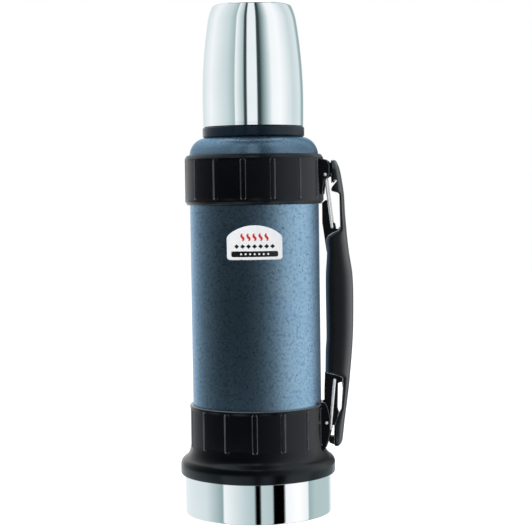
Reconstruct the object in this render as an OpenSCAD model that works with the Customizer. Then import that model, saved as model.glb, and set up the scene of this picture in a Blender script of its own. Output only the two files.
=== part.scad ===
// Vacuum flask with a screw-on cup, a screw stopper and a clip-on side handle.
// Millimetres, +Z up. The origin is the centre of the base's underside. The handle is on +X.

/* [Body] */
// Outer diameter of the painted body
body_d = 89; // [86:0.5:90]
// Thickness of both steel walls
wall = 0.8; // [0.6:0.1:0.9]
// Inner diameter of the inner bottle
bottle_d = 80.4; // [76:0.2:81]
// Direction that the badge faces, measured from the front towards the handle
badge_turn = 8; // [0:1:20]

/* [Base] */
// Diameter of the chrome base cup
base_d = 101.4; // [100:0.2:102]
// Height at which the lower collar's skirt begins
skirt_z = 27.2; // [24:0.2:30]
// Diameter of the lower collar's skirt
skirt_d = 107.4; // [106:0.2:110]

/* [Collars] */
// Number of panels around each collar
panels = 15; // [12:1:18]
// Turn of the upper collar's grooves from the front
upper_phase = 23.5; // [0:0.5:24]
// Turn of the lower collar's grooves from the front
lower_phase = 6; // [0:0.5:24]
// Depth of the grooves between the panels
groove_depth = 1.2; // [0.6:0.1:1.4]
// Width of the grooves between the panels
groove_w = 4; // [2.5:0.1:5]

/* [Cup] */
// Height of the flask with its cup on
total_h = 349.3; // [349.3:0.1:351]
// Largest diameter of the cup
cup_d = 69.4; // [69.2:0.1:70]
// Rise of every screw thread in one turn
lead = 12; // [9:0.5:15]

/* [Handle] */
// Width of the grip
grip_w = 16; // [15:0.5:18]
// Diameter of the pins that the handle hooks on
pin_d = 2.6; // [2.4:0.1:2.7]
// Diameter of the gate wire
wire_d = 1.9; // [1.6:0.1:1.9]

/* [Hidden] */
$fn = 96;

eps = 0.01;
gap = 0.1;
clearance = 0.3;

// Radii and heights of the two steel walls
body_r = body_d / 2;
bottle_r = bottle_d / 2;
shell_bottom_z = 9;
bottle_bottom_z = 14;
shoulder_z = 246;
shoulder_reach = 11.5;
shoulder_rise = 13;
bottle_shoulder_z = 240;
bottle_shoulder_rise = 10;
shield_r = (body_r - wall + bottle_r + wall) / 2;

// Neck, from the steel tubes outwards
rim_z = 284;
neck_in_r = 25.1;
neck_out_r = 27.5;
neck_seat_r = 22.8;
neck_seat_z = [250.8, 256];
ring_z = [259.2, 266];
gasket_z = [259.02, 260];
gasket_r = 31.3;
ring_r = 35.1;
collar_top_z = 282.8;

// Threads: three starts, drawn as a three-lobed section that turns as it rises
thread_starts = 3;
thread_lobe = 0.7;
thread_step = 12;
thread_slices = 24;
cup_thread_r = 30.95;
stopper_thread_r = 23.95;
thread_gap = 0.55;
cup_thread_z = [266, 279];
stopper_thread_z = [262, 275];

// Base cup
base_r = base_d / 2;
base_wall = 1;
base_floor = 1.6;
base_top_z = 34;
base_step = 1;
base_step_z = skirt_z - 0.2;
base_top_r = base_r - base_step;
pad_top_z = 6.2;

// Collars
collar_in_r = body_r + gap;
lower_top_z = 75.3;
lower_r = 46.9;
cove_r = 9;
cove_start_z = 46;
cove_turn = 58;
upper_z = [213, 246];
upper_r = 47.9;
upper_edge_r = 46;
upper_edge_h = 3;

// Lugs, pins and the pockets between the lugs' ears
ear_in = 5.6;
ear_t = 2.6;
pocket_floor_x = 45.7;
pin_r = pin_d / 2;
upper_pin = [50.2, 232.8];
lower_pin = [49.15, 62.5];

// Gates: hinge and closed end of each, as [x, z]
wire_r = wire_d / 2;
core_w = 6;
leg_y = core_w / 2 + clearance + wire_r;
upper_hinge = [54, 197];
upper_end = [50.2, 229.3];
lower_hinge = [54.6, 91.5];
lower_end = [51.2, 57.9];

// Edges of the handle, as [z, x]
grip_out = [[46, 55.4], [50, 58.2], [63, 60.6], [88, 64], [113, 66.5], [133, 67.5], [162, 67.4],
    [181, 64.8], [204, 62.6], [220, 61.8], [229, 60.6], [237, 59], [243, 56.6]];
grip_in = [[46, 53.6], [63, 53.6], [76, 49.6], [84, 47.4], [113, 48.4], [121, 49], [162, 49],
    [180, 50.1], [188, 49], [200, 47.2], [243, 47.2]];

// Cup: a long side arc, then a tighter shoulder arc, then the top's edge
cup_r = cup_d / 2;
cup_rim_z = ring_z[1] + 0.3;
cup_widest_z = 284;
cup_side_arc = 349;
cup_shoulder_z = 338;
cup_shoulder_arc = 40;
cup_edge_arc = 2;
cup_top_turn = 24;
cup_wall = 0.8;
cup_side_turn = asin((cup_shoulder_z - cup_widest_z) / cup_side_arc);
cup_shoulder_r = cup_r - cup_side_arc * (1 - cos(cup_side_turn));
cup_shoulder_c = [cup_shoulder_r - cup_shoulder_arc * cos(cup_side_turn),
    cup_shoulder_z - cup_shoulder_arc * sin(cup_side_turn)];
cup_edge_c = cup_shoulder_c
    + (cup_shoulder_arc - cup_edge_arc) * [cos(cup_top_turn), sin(cup_top_turn)];
cup_lift_to_top = total_h - cup_edge_c[1] - cup_edge_arc;

// Points on an arc, from angle a to angle b
function arc(c, r, a, b, n) = [for (i = [0:n]) c + r * [cos(a + (b - a) * i / n), sin(a + (b - a) * i / n)]];

// Points on a quarter of an ellipse, from its side to its top
function shoulder(c, a, b, n) = [for (i = [0:n]) c + [a * cos(90 * i / n), b * sin(90 * i / n)]];

// The same points in the opposite order
function reversed(points) = [for (i = [len(points) - 1:-1:0]) points[i]];

// Smooth value at z through a table of [z, value]
function slope_at(t, i) = i == 0 ? (t[1][1] - t[0][1]) / (t[1][0] - t[0][0])
    : i == len(t) - 1 ? (t[i][1] - t[i - 1][1]) / (t[i][0] - t[i - 1][0])
    : (t[i + 1][1] - t[i - 1][1]) / (t[i + 1][0] - t[i - 1][0]);
function span_of(t, z, i = 0) = i >= len(t) - 2 || z < t[i + 1][0] ? i : span_of(t, z, i + 1);
function hermite(t, i, w, u) = t[i][1] * (2 * u * u * u - 3 * u * u + 1)
    + t[i + 1][1] * (3 * u * u - 2 * u * u * u)
    + w * slope_at(t, i) * (u * u * u - 2 * u * u + u)
    + w * slope_at(t, i + 1) * (u * u * u - u * u);
function smooth(t, z, i = -1) = i < 0 ? smooth(t, z, span_of(t, z))
    : hermite(t, i, t[i + 1][0] - t[i][0], (z - t[i][0]) / (t[i + 1][0] - t[i][0]));

// The cup's outside from its rim to the top's edge, moved inwards by t
function cup_outline(t) = concat(
    [for (i = [0:12]) let (a = asin((cup_rim_z - cup_widest_z) / cup_side_arc) * (12 - i) / 12
        + cup_side_turn * i / 12)
        [cup_r - t - cup_side_arc * (1 - cos(a)), cup_widest_z + cup_side_arc * sin(a)]],
    arc(cup_shoulder_c, cup_shoulder_arc - t, cup_side_turn + 2, cup_top_turn, 8),
    arc(cup_edge_c + [0, cup_lift_to_top], cup_edge_arc - t / 2, cup_top_turn + 8, 90, 5));

// A tube between two radii and two heights
module tube(r_in, r_out, z_low, z_high) {
    translate([0, 0, z_low])
        difference() {
            cylinder(r = r_out, h = z_high - z_low);
            translate([0, 0, -eps])
                cylinder(r = r_in, h = z_high - z_low + 2 * eps);
        }
}

// A three-start helical rod; the crests and the roots of mating threads stay in step
module thread_rod(mean_r, z) {
    h = z[1] - z[0];
    start = 360 * z[0] / lead;
    translate([0, 0, z[0]])
        linear_extrude(height = h, twist = -360 * h / lead, slices = ceil(h * thread_slices / lead), $fn = 0)
            polygon([for (a = [0:thread_step:359])
                (mean_r + thread_lobe * cos(thread_starts * (a - start))) * [cos(a), sin(a)]]);
}

// The ribs of an internal thread, inside a bore of radius r
module thread_ribs(mean_r, r, z) {
    difference() {
        tube(mean_r - 2 * thread_lobe, r + eps, z[0], z[1]);
        thread_rod(mean_r, z + [-1, 1]);
    }
}

// An outline in the handle's plane given as [x, z], as thick as t
module side_plate(t) {
    rotate([90, 0, 0])
        linear_extrude(height = t, center = true)
            children();
}

// A vertical groove with round ends, cut into a collar of radius r
module groove(angle, r, z_low, z_high) {
    cutter_r = (groove_w * groove_w / 4 + groove_depth * groove_depth) / (2 * groove_depth);
    rotate([0, 0, angle])
        translate([r - groove_depth + cutter_r, 0, 0]) {
            translate([0, 0, z_low])
                cylinder(r = cutter_r, h = z_high - z_low, $fn = 48);
            translate([0, 0, z_low])
                sphere(r = cutter_r, $fn = 48);
            translate([0, 0, z_high])
                sphere(r = cutter_r, $fn = 48);
        }
}

// The grooves around a collar, except behind the lug
module grooves(phase, r, z_low, z_high) {
    for (i = [0:panels - 1])
        let (angle = phase - 90 + i * 360 / panels, off = abs((angle + 540) % 360 - 180))
            if (off > 11)
                groove(angle, r, z_low, z_high);
}

// The two ears of a lug, with the side outline as children
module ears() {
    for (side = [-1, 1])
        translate([0, side * (ear_in + ear_t / 2), 0])
            side_plate(ear_t)
                children();
}

// A pin hole through both ears
module pin_hole(pin) {
    translate([pin[0], 0, pin[1]])
        rotate([90, 0, 0])
            cylinder(r = pin_r + 0.02, h = 2 * (ear_in + ear_t) + 2, center = true, $fn = 48);
}

// The pocket between a lug's ears, down to the collar's thin floor
module pocket(z_low, z_high) {
    translate([pocket_floor_x, -ear_in, z_low])
        cube([20, 2 * ear_in, z_high - z_low]);
}

module base_cup() {
    color("silver")
        rotate_extrude()
            polygon([[0, 0], [base_r - 0.8, 0], [base_r, 0.8], [base_r, base_step_z],
                [base_top_r, base_step_z], [base_top_r, base_top_z],
                [base_top_r - base_wall, base_top_z], [base_top_r - base_wall, base_step_z - base_wall],
                [base_r - base_wall, base_step_z - base_wall], [base_r - base_wall, base_floor],
                [0, base_floor]]);
}

module base_pad() {
    color("dimgray")
        difference() {
            translate([0, 0, base_floor + gap])
                cylinder(r = base_r - base_wall - 1, h = pad_top_z - base_floor - gap);
            translate([0, 0, pad_top_z - 2])
                cylinder(r = 14, h = 3);
        }
}

module outer_shell() {
    outside = shoulder([body_r - shoulder_reach, shoulder_z], shoulder_reach, shoulder_rise, 14);
    inside = shoulder([body_r - shoulder_reach, shoulder_z], shoulder_reach - wall,
        shoulder_rise - wall, 14);
    top_z = shoulder_z + shoulder_rise;
    color("steelblue")
        rotate_extrude()
            polygon(concat([[body_r, shell_bottom_z]], outside,
                [[neck_out_r, top_z], [neck_out_r, rim_z], [neck_out_r - wall, rim_z],
                    [neck_out_r - wall, top_z - wall]],
                reversed(inside), [[body_r - wall, shell_bottom_z]]));
}

module outer_base_cap() {
    r = body_r - wall - gap;
    color("lightgray")
        difference() {
            rotate_extrude()
                polygon([[0, 10], [r - 6, 10], [r - 2, shell_bottom_z], [r, shell_bottom_z],
                    [r, shell_bottom_z + 4], [r - wall, shell_bottom_z + 4],
                    [r - wall, shell_bottom_z + wall], [r - 2, shell_bottom_z + wall],
                    [r - 6, 10 + wall], [0, 10 + wall]]);
            translate([0, 0, shell_bottom_z])
                cylinder(r = 3, h = 4, $fn = 48);
        }
}

module getter_plug() {
    color("gray")
        rotate_extrude($fn = 64)
            polygon([[0, 7.2], [7, 7.2], [7, 9.9], [2.9, 9.9], [2.9, 10.8], [0, 10.8]]);
}

module heat_shield() {
    color("gold")
        tube(shield_r - 0.15, shield_r, 24, 236);
}

module inner_bottle() {
    out_r = bottle_r + wall;
    reach = 9.9;
    corner = 8;
    outside = shoulder([out_r - reach, bottle_shoulder_z], reach, bottle_shoulder_rise, 14);
    inside = shoulder([out_r - reach, bottle_shoulder_z], reach - wall, bottle_shoulder_rise - wall, 14);
    bottom_out = arc([out_r - corner, bottle_bottom_z + corner - wall], corner, -90, 0, 6);
    bottom_in = arc([bottle_r - corner + wall, bottle_bottom_z + corner - wall], corner - wall, -90, 0, 6);
    top_z = bottle_shoulder_z + bottle_shoulder_rise;
    neck_outer = neck_in_r + wall;
    color("gainsboro")
        union() {
            rotate_extrude()
                polygon(concat([[0, bottle_bottom_z - wall]], bottom_out, outside,
                    [[neck_outer, top_z], [neck_outer, rim_z + gap], [neck_out_r, rim_z + gap],
                        [neck_out_r, rim_z + gap + wall], [neck_in_r, rim_z + gap + wall],
                        [neck_in_r, neck_seat_z[1]], [neck_seat_r, neck_seat_z[1] - 1],
                        [neck_seat_r, neck_seat_z[0] - 1.6]],
                    reversed(inside), reversed(bottom_in), [[0, bottle_bottom_z]]));
            thread_ribs(stopper_thread_r + thread_gap, neck_in_r, stopper_thread_z);
        }
}

module neck_collar() {
    in_r = neck_out_r + gap;
    color("black")
        difference() {
            union() {
                rotate_extrude()
                    polygon([[in_r, gasket_z[1]], [gasket_r, gasket_z[1]], [gasket_r, ring_z[0]],
                        [ring_r - 0.8, ring_z[0]], [ring_r, ring_z[0] + 0.8],
                        [ring_r, ring_z[1] - 0.6], [ring_r - 0.6, ring_z[1]], [30, ring_z[1]],
                        [30, collar_top_z], [in_r, collar_top_z]]);
                thread_rod(cup_thread_r, cup_thread_z);
            }
            translate([0, 0, ring_z[0] - 1])
                cylinder(r = in_r, h = 30);
        }
}

module neck_gasket() {
    color("dimgray")
        tube(neck_out_r + gap, gasket_r - gap, gasket_z[0], gasket_z[1] - 0.02);
}

module lower_collar() {
    cove_c = [lower_r + cove_r, cove_start_z];
    bead_r = (skirt_d / 2 - cove_c[0] + cove_r * cos(cove_turn)) / (1 - cos(cove_turn));
    bead_c = cove_c - (cove_r + bead_r) * [cos(cove_turn), sin(cove_turn)];
    outline = concat(
        [[collar_in_r, lower_top_z], [46.2, lower_top_z], [lower_r, lower_top_z - 1]],
        arc(cove_c, cove_r, 180, 180 + cove_turn, 8),
        arc(bead_c, bead_r, cove_turn - 7, 0, 8),
        [[skirt_d / 2 - 0.2, skirt_z + 0.8], [skirt_d / 2 - 0.9, skirt_z],
            [base_top_r + gap, skirt_z], [base_top_r + gap, base_top_z + gap],
            [collar_in_r, base_top_z + gap]]);
    color("black")
        difference() {
            union() {
                difference() {
                    rotate_extrude()
                        polygon(outline);
                    grooves(lower_phase, lower_r, 48, 72);
                }
                intersection() {
                    ears()
                        polygon([[44, 40], [49, 43.6], [52.2, 50], [52.8, 56], [52.8, 70], [50.6, 75],
                            [48.6, 76.8], [44, 76.8]]);
                    tube(collar_in_r, 60, 40, 80);
                }
            }
            pocket(44.5, 80);
            pin_hole(lower_pin);
        }
}

module upper_collar() {
    color("black")
        difference() {
            union() {
                rotate_extrude()
                    polygon([[collar_in_r, upper_z[0]], [upper_edge_r, upper_z[0]],
                        [upper_r, upper_z[0] + upper_edge_h], [upper_r, upper_z[1] - upper_edge_h],
                        [upper_edge_r, upper_z[1]], [collar_in_r, upper_z[1]]]);
                intersection() {
                    ears()
                        union() {
                            polygon([[44, 219], [48, 219.5], [49.4, 230.6], [50.2, 230.2],
                                [52.8, 232.8], [52.8, 239.6], [51.6, 242], [49.4, 243.4], [44, 243.4]]);
                            translate(upper_pin)
                                circle(r = 2.6, $fn = 48);
                        }
                    tube(collar_in_r, 60, 215, 245);
                }
            }
            grooves(upper_phase, upper_r, upper_z[0] + 5.4, upper_z[1] - 5.4);
            pocket(222, 243);
            pin_hole(upper_pin);
        }
}

// A steel pin across a lug, a little short of the ears' outer faces
module lug_pin(pin) {
    color("silver")
        translate([pin[0], 0, pin[1]])
            rotate([90, 0, 0])
                cylinder(r = pin_r, h = 2 * (ear_in + ear_t) - 0.2, center = true, $fn = 48);
}

module upper_lug_pin() {
    lug_pin(upper_pin);
}

module lower_lug_pin() {
    lug_pin(lower_pin);
}

// A curved label plate with an arched top, lying on the body
module badge_plate() {
    half_w = 18.8;
    low_z = 175.9;
    arch_r = 28.7;
    arch_z = 170.2;
    color("white")
        rotate([0, 0, badge_turn])
            intersection() {
                tube(body_r + 0.02, body_r + 0.7, 170, 205);
                translate([0, -body_r, 0])
                    side_plate(60)
                        intersection() {
                            translate([0, arch_z])
                                circle(r = arch_r);
                            translate([-half_w, low_z])
                                square([2 * half_w, 30]);
                        }
            }
}

module stopper_body() {
    hollow_r = 19.6;
    shank_r = 22.2;
    flange_r = 26.8;
    color("black")
        difference() {
            union() {
                rotate_extrude()
                    polygon([[hollow_r, 244], [shank_r, 244], [shank_r, 256.4], [21, 256.4],
                        [21, 259.6], [22.6, 259.6], [22.6, 285.4], [flange_r - 2.4, 285.4],
                        [flange_r - 2.4, 286.8], [flange_r, 286.8], [flange_r, 289.4],
                        [flange_r - 0.6, 290], [hollow_r, 290]]);
                thread_rod(stopper_thread_r, stopper_thread_z);
            }
            translate([0, 0, 243])
                cylinder(r = hollow_r, h = 50);
        }
}

// Fluted knob that closes the stopper's top
module stopper_knob() {
    knob_r = 23.5;
    color("black")
        difference() {
            rotate_extrude()
                polygon(concat([[0, 306.4], [20, 306.4], [20, 290.1], [knob_r, 290.1]],
                    arc([knob_r - 3, 306.6], 3, 0, 90, 6), [[0, 309.6]]));
            for (i = [0:11])
                rotate([0, 0, i * 30])
                    translate([knob_r + 1.6, 0, 289])
                        cylinder(r = 3, h = 22, $fn = 32);
        }
}

module stopper_core() {
    color("white")
        translate([0, 0, 246.8])
            cylinder(r = 19.4, h = 59.4);
}

module stopper_plug() {
    color("gainsboro")
        rotate_extrude()
            polygon([[0, 242.2], [20.8, 242.2], [22, 243.2], [22, 243.9], [19.5, 243.9],
                [19.5, 246.6], [0, 246.6]]);
}

module stopper_lower_gasket() {
    color("dimgray")
        tube(21.35, 23.4, 256.7, 259.3);
}

module stopper_upper_gasket() {
    color("dimgray")
        tube(24.6, 26.6, 285.2, 286.7);
}

module cup_shell() {
    inner = cup_outline(cup_wall);
    color("silver")
        rotate_extrude()
            polygon(concat(cup_outline(0), [[0, total_h], [0, total_h - cup_wall]],
                reversed([for (p = inner) [p[0], min(p[1], total_h - cup_wall)]])));
}

module cup_liner() {
    foot_r = cup_r - cup_wall - 0.55;
    bore_r = cup_thread_r + thread_gap + thread_lobe;
    color("dimgray")
        union() {
            rotate_extrude()
                polygon([[28.6, 286.4], [bore_r, 286.4], [bore_r, 267], [foot_r, 267], [foot_r, 292],
                    [31.2, 318], [28.8, 334], [24, 343], [0, 343], [0, 341.4], [23, 341.4],
                    [27.4, 333.2], [29.6, 317.6], [31.2, 296], [31.2, 289], [28.6, 289]]);
            thread_ribs(cup_thread_r + thread_gap, bore_r, cup_thread_z + [1.5, 0]);
        }
}

module cup_seal_ring() {
    color("dimgray")
        tube(28.8, 30.6, collar_top_z + 0.2, 286.1);
}

// Openings through the hook at the handle's top, as [x, z]: the mouth below the pin, the window
// beside the gate and the slanting slot above it
module upper_opening() {
    polygon([[44, 211], [49.6, 215.4], [51.5, 215.2], [53.3, 200.6], [55.6, 199.4], [56.4, 195.6],
        [58, 195.4], [59.4, 197.4], [59.1, 219], [57.6, 221.2], [54, 221.4], [53.5, 222.6],
        [54.3, 223.9], [57.8, 228.2], [57.3, 229.3], [56.2, 229], [54.8, 227.4],
        [upper_pin[0] + 1, 227.4], [upper_pin[0] - 1, 227.4], [upper_pin[0] - pin_r - clearance, 229.2],
        [46.8, 228.6], [44, 228.6]]);
}

// The window beside the lower gate
module lower_window() {
    polygon([[56.4, 89.4], [59.4, 90.2], [59.9, 86], [58.8, 72], [56.8, 68.6], [55.8, 72]]);
}

// The steel plate inside the handle, with a hook that opens downwards at each end
module handle_core() {
    seat_r = pin_r + clearance;
    upper_channel = upper_pin[0] - seat_r;
    lower_channel = lower_pin[0] - seat_r;
    color("dimgray")
        difference() {
            side_plate(core_w)
                difference() {
                    polygon([[46, 229], [46.6, 228.2], [52, 226], [52.2, 217], [47.2, 217],
                        [47.2, 200], [47.8, 196], [50, 180], [56.2, 180], [56.6, 120], [53, 100],
                        [47.8, 97], [47.2, 84], [47.2, 78], [46, 74], [46, 58], [46.6, 57],
                        [lower_channel + 1, 57], [49.6, 51.6], [50.4, 48], [54, 46.6],
                        [57.2, 52.6], [59.4, 64], [61.6, 84],
                        [63.4, 100], [65, 118], [65.6, 133], [65.4, 160], [63, 179], [60.8, 204],
                        [60.2, 219], [58.8, 231], [56, 241], [49.4, 241], [46, 238]]);
                    // Pin channels, mouths and the room that each gate's closed end swings in
                    for (pin = [upper_pin, lower_pin])
                        translate(pin)
                            circle(r = seat_r, $fn = 48);
                    translate([upper_channel, 227])
                        square([2 * seat_r, upper_pin[1] - 227]);
                    translate([lower_channel, 52.4])
                        square([2 * seat_r, lower_pin[1] - 52.4]);
                    polygon([[upper_channel, 227], [55.4, 227], [55.6, 231.2], [upper_channel, 231.2]]);
                    polygon([[44, 57], [44, 52.4], [55.4, 52.4], [56.2, 60.2], [lower_channel, 60.2],
                        [lower_channel, 57]]);
                    upper_opening();
                    lower_window();
                }
            for (hinge = [upper_hinge, lower_hinge])
                translate([hinge[0], 0, hinge[1]])
                    rotate([90, 0, 0])
                        cylinder(r = wire_r + 0.05, h = core_w + 2, center = true, $fn = 48);
        }
}

// A section of the grip at height z: a rounded box between the inner and the outer edge
function grip_section(z, shrink) = let (
    x0 = smooth(grip_in, z) + shrink,
    x1 = smooth(grip_out, z) - shrink,
    half = grip_w / 2 - shrink)
    [for (a = [0:15:345]) let (c = cos(a), s = sin(a))
        [(x0 + x1) / 2 + (x1 - x0) / 2 * sign(c) * pow(abs(c), 0.6), half * sign(s) * pow(abs(s), 0.6), z]];

// Moulded grip around the plate
module handle_grip() {
    levels = concat([45.8, 46.4], [for (i = [0:32]) 48 + 6 * i], [242, 242.8]);
    shrinks = concat([0.7, 0.3], [for (i = [0:32]) 0], [0.3, 0.9]);
    rings = len(levels);
    points = [for (k = [0:rings - 1]) each grip_section(levels[k], shrinks[k])];
    sides = [for (k = [0:rings - 2]) for (i = [0:23]) let (j = (i + 1) % 24)
        each [[24 * k + i, 24 * (k + 1) + i, 24 * (k + 1) + j], [24 * k + i, 24 * (k + 1) + j, 24 * k + j]]];
    color("black")
        difference() {
            polyhedron(points, concat([[for (i = [0:23]) i]], sides,
                [[for (i = [23:-1:0]) 24 * (rings - 1) + i]]));
            // Slot for the plate
            side_plate(core_w + 0.04)
                polygon([[40, 40], [54.02, 40], [54.02, 46.58], [57.22, 52.58], [59.42, 64], [61.62, 84],
                    [63.42, 100], [65.02, 118], [65.62, 133], [65.42, 160], [63.02, 179],
                    [60.82, 204], [60.22, 219], [58.82, 231], [56.02, 241.02], [40, 241.02],
                    [40, 194], [50, 179], [56.18, 178], [56.58, 120], [52.98, 100.02],
                    [47.78, 97.02], [47, 84]]);
            // Room beside the hooks for the lugs' ears and the gates' legs
            side_plate(grip_w + 4)
                polygon([[40, 250], [53.2, 250], [53.2, 226.4], [54.8, 227.4], [56.2, 229], [57.3, 229.3],
                    [57.8, 228.2], [54.3, 223.9], [53.5, 222.6], [54, 221.4], [57.6, 221.2],
                    [59.1, 219], [59.4, 196.6], [58, 194.6], [54, 193], [50, 191], [40, 191]]);
            side_plate(grip_w + 4)
                polygon([[40, 40], [53.4, 40], [53.4, 60.4], [55.8, 66], [56.8, 68.6], [58.8, 72],
                    [59.9, 86], [59.6, 94], [55, 96], [50, 95], [46, 92], [40, 92]]);
            // Room for the gates' ends behind the cheeks of the head and the tail
            translate([50, -ear_in, 220])
                cube([5.6, 2 * ear_in, 11.2]);
            translate([50, -ear_in, 56.3])
                cube([6.2, 2 * ear_in, 12.5]);
        }
}

// A wire gate: two legs beside the plate, joined at the closed end, with stub axles
module gate(hinge, end) {
    run = end - hinge;
    length = norm(run);
    tilt = atan2(run[0], run[1]);
    color("silver")
        translate([hinge[0], 0, hinge[1]])
            rotate([0, tilt, 0])
                union() {
                    for (side = [-1, 1])
                        translate([0, side * leg_y, 0]) {
                            cylinder(r = wire_r, h = length, $fn = 32);
                            sphere(r = wire_r, $fn = 32);
                            translate([0, 0, length])
                                sphere(r = wire_r, $fn = 32);
                            rotate([side * 90, 0, 0])
                                cylinder(r = wire_r, h = leg_y - 0.4, $fn = 32);
                        }
                    translate([0, 0, length])
                        rotate([90, 0, 0])
                            cylinder(r = wire_r, h = 2 * leg_y, center = true, $fn = 32);
                }
}

module upper_gate() {
    gate(upper_hinge, upper_end);
}

module lower_gate() {
    gate(lower_hinge, lower_end);
}

base_cup();
base_pad();
outer_shell();
outer_base_cap();
getter_plug();
heat_shield();
inner_bottle();
neck_collar();
neck_gasket();
lower_collar();
upper_collar();
upper_lug_pin();
lower_lug_pin();
badge_plate();
stopper_body();
stopper_knob();
stopper_core();
stopper_plug();
stopper_lower_gasket();
stopper_upper_gasket();
cup_shell();
cup_liner();
cup_seal_ring();
handle_core();
handle_grip();
upper_gate();
lower_gate();
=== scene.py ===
# Looks of the vacuum flask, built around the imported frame.
# Shapes are in millimetres, in the frame's axes, and become metres when a mesh is made.
import math

import bmesh
import bpy
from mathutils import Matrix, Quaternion, Vector


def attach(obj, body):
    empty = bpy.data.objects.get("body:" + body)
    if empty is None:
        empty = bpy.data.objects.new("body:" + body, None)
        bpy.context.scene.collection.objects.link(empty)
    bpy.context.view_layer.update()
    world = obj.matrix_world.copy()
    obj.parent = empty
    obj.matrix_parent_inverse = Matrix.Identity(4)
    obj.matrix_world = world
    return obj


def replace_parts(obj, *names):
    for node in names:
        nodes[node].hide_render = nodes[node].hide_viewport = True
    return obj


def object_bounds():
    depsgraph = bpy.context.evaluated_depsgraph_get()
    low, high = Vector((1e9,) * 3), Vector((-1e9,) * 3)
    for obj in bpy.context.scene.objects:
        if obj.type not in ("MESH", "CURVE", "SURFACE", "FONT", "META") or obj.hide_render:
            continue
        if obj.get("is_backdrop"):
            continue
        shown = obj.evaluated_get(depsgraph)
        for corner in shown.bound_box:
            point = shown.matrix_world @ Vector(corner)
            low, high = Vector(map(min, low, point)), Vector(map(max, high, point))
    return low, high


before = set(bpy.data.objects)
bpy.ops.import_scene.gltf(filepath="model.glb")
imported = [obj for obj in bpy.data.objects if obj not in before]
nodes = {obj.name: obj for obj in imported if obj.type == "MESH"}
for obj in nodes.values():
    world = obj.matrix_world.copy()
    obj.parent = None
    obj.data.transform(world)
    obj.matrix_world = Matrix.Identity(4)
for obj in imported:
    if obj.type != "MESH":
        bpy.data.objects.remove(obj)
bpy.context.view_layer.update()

MM = 0.001
TAU = 2 * math.pi
VIEW_TURN = math.radians(8)  # the camera stands 8 degrees towards the handle
TOWARDS = (math.sin(VIEW_TURN), -math.cos(VIEW_TURN))
RIGHT = (math.cos(VIEW_TURN), math.sin(VIEW_TURN))


# ---------------------------------------------------------------- shapes

def arc(centre, radius, start, end, count):
    """Points on an arc, in degrees."""
    angles = [math.radians(start + (end - start) * i / count) for i in range(count + 1)]
    return [(centre[0] + radius * math.cos(a), centre[1] + radius * math.sin(a)) for a in angles]


def rounded(points, radius, count=5):
    """A closed outline with every corner rounded. radius is one number, or one for each corner."""
    out = []
    n = len(points)
    for i, point in enumerate(points):
        here = Vector(point)
        before = Vector(points[i - 1]) - here
        after = Vector(points[(i + 1) % n]) - here
        r = radius[i] if isinstance(radius, (list, tuple)) else radius
        angle = before.angle(after, math.pi)
        if r <= 0 or angle > math.radians(174):
            out.append(tuple(here))
            continue
        reach = min(r / math.tan(angle / 2), 0.48 * before.length, 0.48 * after.length)
        a = here + before.normalized() * reach
        b = here + after.normalized() * reach
        for k in range(count + 1):
            t = k / count
            out.append(tuple(a * (1 - t) ** 2 + here * 2 * t * (1 - t) + b * t * t))
    return out


def smooth_table(table, z):
    """Smooth value at z through a table of (z, value)."""
    z = min(max(z, table[0][0]), table[-1][0])
    i = 0
    while i < len(table) - 2 and z >= table[i + 1][0]:
        i += 1

    def slope(k):
        low, high = max(k - 1, 0), min(k + 1, len(table) - 1)
        return (table[high][1] - table[low][1]) / (table[high][0] - table[low][0])

    w = table[i + 1][0] - table[i][0]
    u = (z - table[i][0]) / w
    return (table[i][1] * (2 * u**3 - 3 * u**2 + 1) + table[i + 1][1] * (3 * u**2 - 2 * u**3)
            + w * slope(i) * (u**3 - 2 * u**2 + u) + w * slope(i + 1) * (u**3 - u**2))


def straight_table(table, z):
    """Straight-line value at z through a table of (z, value)."""
    if z <= table[0][0]:
        return table[0][1]
    for (z0, v0), (z1, v1) in zip(table, table[1:]):
        if z <= z1:
            return v0 + (v1 - v0) * (z - z0) / (z1 - z0)
    return table[-1][1]


def ease(t):
    """0 to 1, starting and ending gently."""
    t = min(max(t, 0.0), 1.0)
    return t * t * (3 - 2 * t)


def build(name, verts, faces, body, crease=32):
    """A mesh object with smooth faces and sharp edges where it turns by more than crease degrees."""
    mesh = bpy.data.meshes.new(name)
    mesh.from_pydata([Vector(v) * MM for v in verts], [], faces)
    bm = bmesh.new()
    bm.from_mesh(mesh)
    bmesh.ops.remove_doubles(bm, verts=bm.verts, dist=2e-7)
    bmesh.ops.recalc_face_normals(bm, faces=bm.faces)
    sharpen(bm, crease)
    bm.to_mesh(mesh)
    bm.free()
    obj = bpy.data.objects.new(name, mesh)
    bpy.context.scene.collection.objects.link(obj)
    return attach(obj, body)


def sharpen(bm, crease):
    """Smooth faces, with an edge left sharp where it turns by more than crease degrees."""
    limit = math.radians(crease)
    for face in bm.faces:
        face.smooth = True
    for edge in bm.edges:
        edge.smooth = len(edge.link_faces) == 2 and edge.calc_face_angle(0) < limit


def grid_faces(rows, columns, close_rows, close_columns, first=0):
    """Faces between rows of points, closed round on themselves or left open either way."""
    faces = []
    for i in range(rows if close_rows else rows - 1):
        for k in range(columns if close_columns else columns - 1):
            a, b = first + i * columns, first + (i + 1) % rows * columns
            faces.append((a + k, a + (k + 1) % columns, b + (k + 1) % columns, b + k))
    return faces


def end_caps(count, sides):
    """The two end faces of a tube whose points are count in all, sides of them in each ring."""
    return [tuple(range(sides)), tuple(range(count - 1, count - sides - 1, -1))]


def turned(outline, turns):
    """The points of an outline of (r, z) turned about Z."""
    return [(r * math.cos(TAU * k / turns), r * math.sin(TAU * k / turns), z)
            for r, z in outline for k in range(turns)]


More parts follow.
